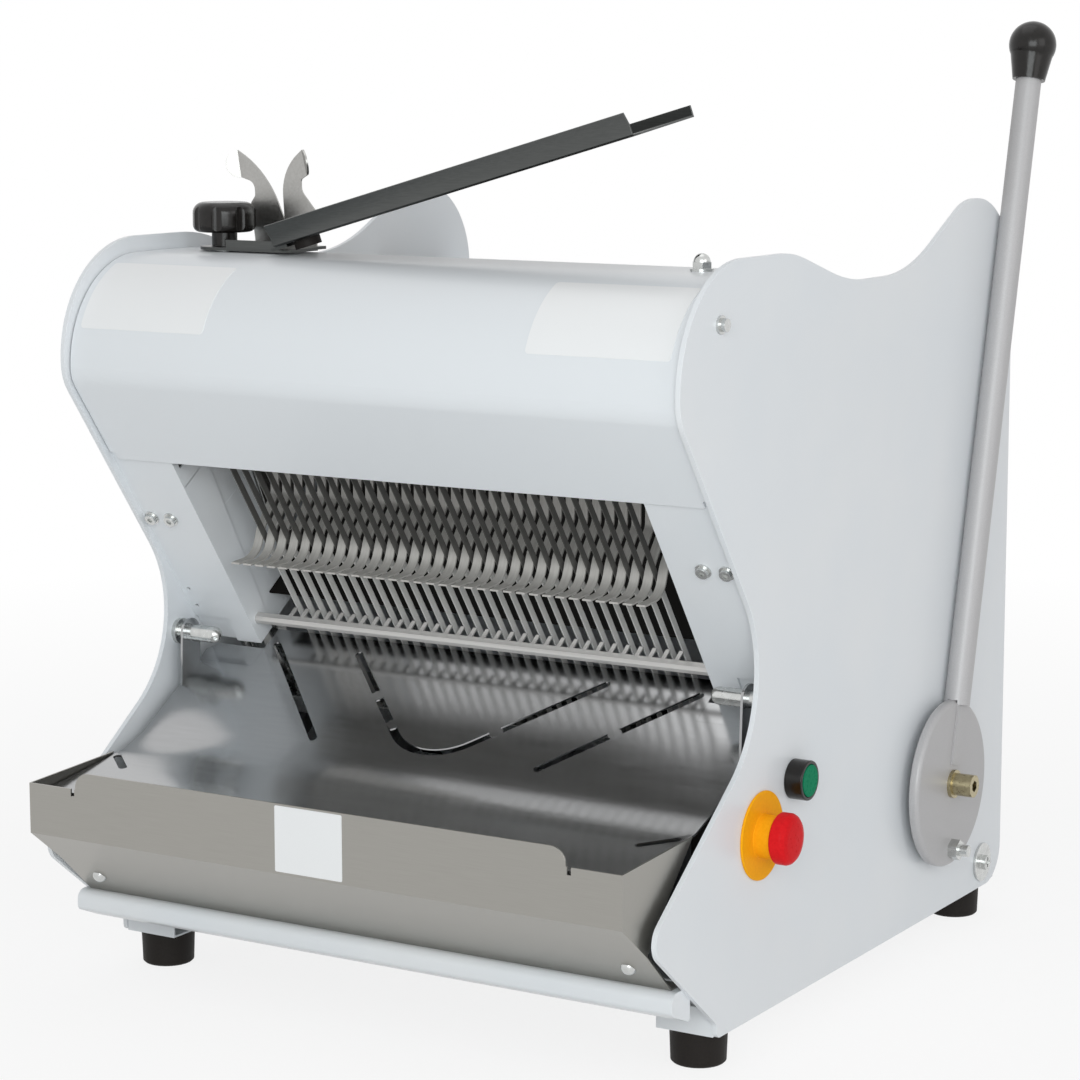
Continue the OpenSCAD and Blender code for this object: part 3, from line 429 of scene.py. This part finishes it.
chute_through = on_chute(0, 0, -chute_sheet) - chute_line
wing = [(0.2141, -0.0059), (0.2699, -0.0059), (0.2699, 0.008), (0.262, 0.016), (0.2141, 0.016)]
bridges = ((-0.0755, -0.022, 45), (-0.044, -0.0515, 38),
           (0.052, -0.046, -45), (0.153, -0.0305, -46))
bridge = [(0.0045, 0.0044), (-0.0045, 0.0044), (-0.006, 0.0),
          (-0.0045, -0.0044), (0.0045, -0.0044), (0.006, 0.0)]
wing_blanks = [([on_chute(side * x, up) for x, up in wing], chute_through) for side in (1, -1)]
for x, up, turn in bridges:
    along = Vector((math.cos(math.radians(turn)), math.sin(math.radians(turn))))
    wing_blanks.append(([on_chute(x + along.x * a + along.y * b,
                                  up - along.y * a + along.x * b, bridge_lift)
                         for a, b in bridge], chute_through))
chute_wings = cut_sheet("chute_wings", wing_blanks)
chute_wings.data.materials.append(rolled_steel)
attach(chute_wings, "chute")

# Tray, its screws and its blank plate
# Stainless sheet with a satin ground face, folded under to the rail, with end plates welded in.
satin_steel, satin_shader = new_finish("satin_stainless", (0.36, 0.35, 0.325), 1.0, 0.34)
satin = grain(satin_steel, (30, 1400, 1400), 2)
tone(satin_steel, satin_shader, satin, (0.35, 0.34, 0.315), (0.37, 0.36, 0.335))
sheen(satin_steel, satin_shader, satin, 0.33, 0.36)
dress("tray", satin_steel, 0.0003)
dress("tray_screws", zinc_plate, 0.0003)
tray_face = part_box("tray")[0][1]
fold_line, tray_plate_rise = 0.141, 0.002
tray_plate_width, tray_plate_height, tray_plate_corner = 0.062, 0.0515, 0.0012


def on_tray(u, v, lift):
    """Place on the tray's upright front, above its lower fold."""
    return Vector((u, tray_face - lift, fold_line + tray_plate_rise + v))


tray_plate = foil_plate("tray_plate", tray_plate_width, tray_plate_height, tray_plate_corner,
                        on_tray)
tray_plate.data.materials.append(foil)
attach(tray_plate, "casing")

# Front rail, rear cover, cable gland and corner screws
# White folded rail under the tray and a white back sheet with louvres and a black screw-in gland.
for node in ("front_rail", "rear_cover"):
    dress(node, powder_coat, 0.0005)
black_gloss, gloss_shader = new_finish("black_moulding", (0.008, 0.007, 0.006), 0.0, 0.2, 0.35)
mould = grain(black_gloss, (260, 260, 260), 3)
tone(black_gloss, gloss_shader, mould, (0.006, 0.005, 0.004), (0.011, 0.009, 0.008))
sheen(black_gloss, gloss_shader, mould, 0.16, 0.26)
dress("cable_gland", black_gloss, 0.0006)
dress("panel_screws", zinc_plate, 0.0006)

# Lever disc, tube, knob and stop bolt
# Steel disc and tube welded together and sprayed light grey, with a faint metallic fleck.
# The knob is black plastic, moulded on.
lever_paint, lever_shader = new_finish("lever_grey", (0.5, 0.49, 0.49), 0.1, 0.4)
fleck = grain(lever_paint, (1500, 1500, 1500), 2)
tone(lever_paint, lever_shader, fleck, (0.42, 0.412, 0.416), (0.48, 0.472, 0.476))
sheen(lever_paint, lever_shader, fleck, 0.36, 0.46)
for node in ("lever_disc", "lever_tube"):
    dress(node, lever_paint)
dress("stop_bolt", zinc_plate, 0.0005)
dress("lever_knob", black_gloss)

# Lever bolt and shaft bushes
# Yellow-passivated cap bolt and turned bronze bushes.
bronze, bronze_shader = new_finish("yellow_bronze", (0.42, 0.36, 0.22), 1.0, 0.3)
patina = grain(bronze, (300, 300, 300), 4)
tone(bronze, bronze_shader, patina, (0.36, 0.31, 0.19), (0.5, 0.44, 0.28))
sheen(bronze, bronze_shader, patina, 0.22, 0.4)
for node in ("lever_bolt", "shaft_bushes"):
    dress(node, bronze, 0.0006)

# Start and stop buttons
# Coloured moulded plastic, each button guided in its collar and clipped to a black contact block.
plastic_specular = 0.03


def moulded(name, dark, light, low, high):
    """A coloured plastic with a fine moulded grain, rough from low to high."""
    plastic, shader = new_finish(name, light, 0.0, (low + high) / 2, plastic_specular)
    speck = grain(plastic, (420, 420, 420), 3)
    tone(plastic, shader, speck, dark, light)
    sheen(plastic, shader, speck, low, high)
    relief(plastic, shader, speck, 0.05, 0.0002)
    return plastic


dress("start_bezel", black_gloss, 0.0008)
dress("contact_block", black_gloss, 0.0006)
dress("stop_stem", zinc_plate)
start_green = moulded("start_green", (0.0, 0.19, 0.085), (0.002, 0.225, 0.105), 0.24, 0.34)
dress("start_cap", start_green, 0.0006)
stop_yellow = moulded("stop_yellow", (0.9, 0.39, 0.008), (0.96, 0.43, 0.012), 0.3, 0.42)
dress("stop_plate", stop_yellow, 0.0006)
stop_red = moulded("stop_red", (0.64, 0.012, 0.016), (0.72, 0.016, 0.02), 0.26, 0.36)
dress("stop_head", stop_red, 0.0012)

# Bag scoop
# Stainless shelf with a rolled lip on a strap, clamped to the hood's stud by a black star knob.
# Two cut prongs hold the bag open, and a rubber pad sits under the shelf.
shelf_steel, shelf_shader = new_finish("dark_satin_stainless", (0.1, 0.104, 0.102), 1.0, 0.3)
shelf_grain = grain(shelf_steel, (30, 1200, 1200), 2)
tone(shelf_steel, shelf_shader, shelf_grain, (0.092, 0.096, 0.094), (0.108, 0.112, 0.11))
sheen(shelf_steel, shelf_shader, shelf_grain, 0.3, 0.33)
for node in ("scoop_shelf", "scoop_strap"):
    dress(node, shelf_steel, 0.0003)
dress("bag_prongs", brushed_steel, 0.0003)
dress("scoop_pad", rubber, 0.0008)
dress("scoop_stud", zinc_plate, 0.0004)
dress("clamp_knob", black_gloss)

# Set
# A white floor that fades into the white surroundings, under three soft boxes.
# The camera stands at the front right of the machine.
floor_half, floor_drop = 14.0, 0.0006
fade_start, fade_end, near_share = 0.6, 2.0, 0.84
lit_level, seen_level = 0.42, 1.0
floor_mesh = bmesh.new()
bmesh.ops.create_grid(floor_mesh, x_segments=2, y_segments=2, size=floor_half)
floor_data = bpy.data.meshes.new("floor")
floor_mesh.to_mesh(floor_data)
floor_mesh.free()
floor = bpy.data.objects.new("floor", floor_data)
bpy.context.scene.collection.objects.link(floor)
floor.location = (0, 0, -floor_drop)


def seen_direct(tree):
    """1 for rays from the camera, a mirror or glass, 0 for the light that falls on the object."""
    path = tree.nodes.new("ShaderNodeLightPath")
    total = path.outputs["Is Camera Ray"]
    for ray in ("Is Glossy Ray", "Is Transmission Ray"):
        either = tree.nodes.new("ShaderNodeMath")
        either.operation = "MAXIMUM"
        tree.links.new(total, either.inputs[0])
        tree.links.new(path.outputs[ray], either.inputs[1])
        total = either.outputs[0]
    return total


sweep, sweep_shader = new_finish("white_sweep", (0.9, 0.9, 0.9), 0.0, 0.9, 0.0)
sweep_links = sweep.node_tree.links
spot = add_node(sweep, "ShaderNodeTexCoord")
distance = add_node(sweep, "ShaderNodeVectorMath")
distance.operation = "LENGTH"
fade = add_node(sweep, "ShaderNodeMapRange",
                From_Min=fade_start, From_Max=fade_end, To_Min=near_share, To_Max=1.0)
share = add_node(sweep, "ShaderNodeMath")
share.operation = "MULTIPLY"
glow = add_node(sweep, "ShaderNodeEmission", Color=(1, 1, 1, 1), Strength=1.0)
blend = add_node(sweep, "ShaderNodeMixShader")
sweep_links.new(spot.outputs["Object"], distance.inputs[0])
sweep_links.new(distance.outputs["Value"], fade.inputs["Value"])
sweep_links.new(fade.outputs["Result"], share.inputs[0])
sweep_links.new(seen_direct(sweep.node_tree), share.inputs[1])
sweep_links.new(share.outputs[0], blend.inputs["Fac"])
sweep_links.new(sweep_shader.outputs[0], blend.inputs[1])
sweep_links.new(glow.outputs[0], blend.inputs[2])
sweep_links.new(blend.outputs[0], sweep.node_tree.nodes["Material Output"].inputs["Surface"])
floor.data.materials.append(sweep)

world = bpy.data.worlds.new("studio")
bpy.context.scene.world = world
world.use_nodes = True
sky = world.node_tree.nodes["Background"]
sky_level = world.node_tree.nodes.new("ShaderNodeMapRange")
sky_level.inputs["To Min"].default_value = lit_level
sky_level.inputs["To Max"].default_value = seen_level
sky.inputs["Color"].default_value = (1, 1, 1, 1)
world.node_tree.links.new(seen_direct(world.node_tree), sky_level.inputs["Value"])
world.node_tree.links.new(sky_level.outputs["Result"], sky.inputs["Strength"])


def soft_box(name, place, aim, width, height, watts, color):
    """A rectangular lamp at a place, turned to the point it lights."""
    lamp = bpy.data.lights.new(name, "AREA")
    lamp.shape = "RECTANGLE"
    lamp.size, lamp.size_y, lamp.energy = width, height, watts
    lamp.color = color
    holder = bpy.data.objects.new(name, lamp)
    bpy.context.scene.collection.objects.link(holder)
    holder.location = place
    holder.rotation_euler = (Vector(aim) - Vector(place)).to_track_quat("-Z", "Y").to_euler()


soft_box("front_box", (1.6, -2.9, 1.2), (0, 0, 0.32), 2.2, 1.6, 49, (0.94, 0.99, 1.0))
soft_box("right_box", (3.2, -0.9, 1.4), (0, 0, 0.3), 1.8, 1.8, 13, (1.0, 0.98, 0.98))
soft_box("top_box", (-0.3, 0.0, 3.0), (0, 0, 0.3), 2.0, 2.0, 8, (1.0, 1.0, 1.0))

image_width = 1080
focal_pixels, axis_x, axis_y = 3051.5, 561.1, 515.0
camera_data = bpy.data.cameras.new("camera")
camera_data.sensor_width = 36.0
camera_data.lens = focal_pixels / image_width * camera_data.sensor_width
camera_data.shift_x = (image_width / 2 - axis_x) / image_width
camera_data.shift_y = (axis_y - image_width / 2) / image_width
camera = bpy.data.objects.new("camera", camera_data)
bpy.context.scene.collection.objects.link(camera)
azimuth, pitch = math.radians(30.95), math.radians(8.53)
look = Vector((-math.sin(azimuth) * math.cos(pitch),
               math.cos(azimuth) * math.cos(pitch), -math.sin(pitch)))
camera.location = (1.315, -2.2106, 0.755)
camera.rotation_euler = look.to_track_quat("-Z", "Y").to_euler()
bpy.context.scene.camera = camera
bpy.context.scene.view_settings.view_transform = "Standard"
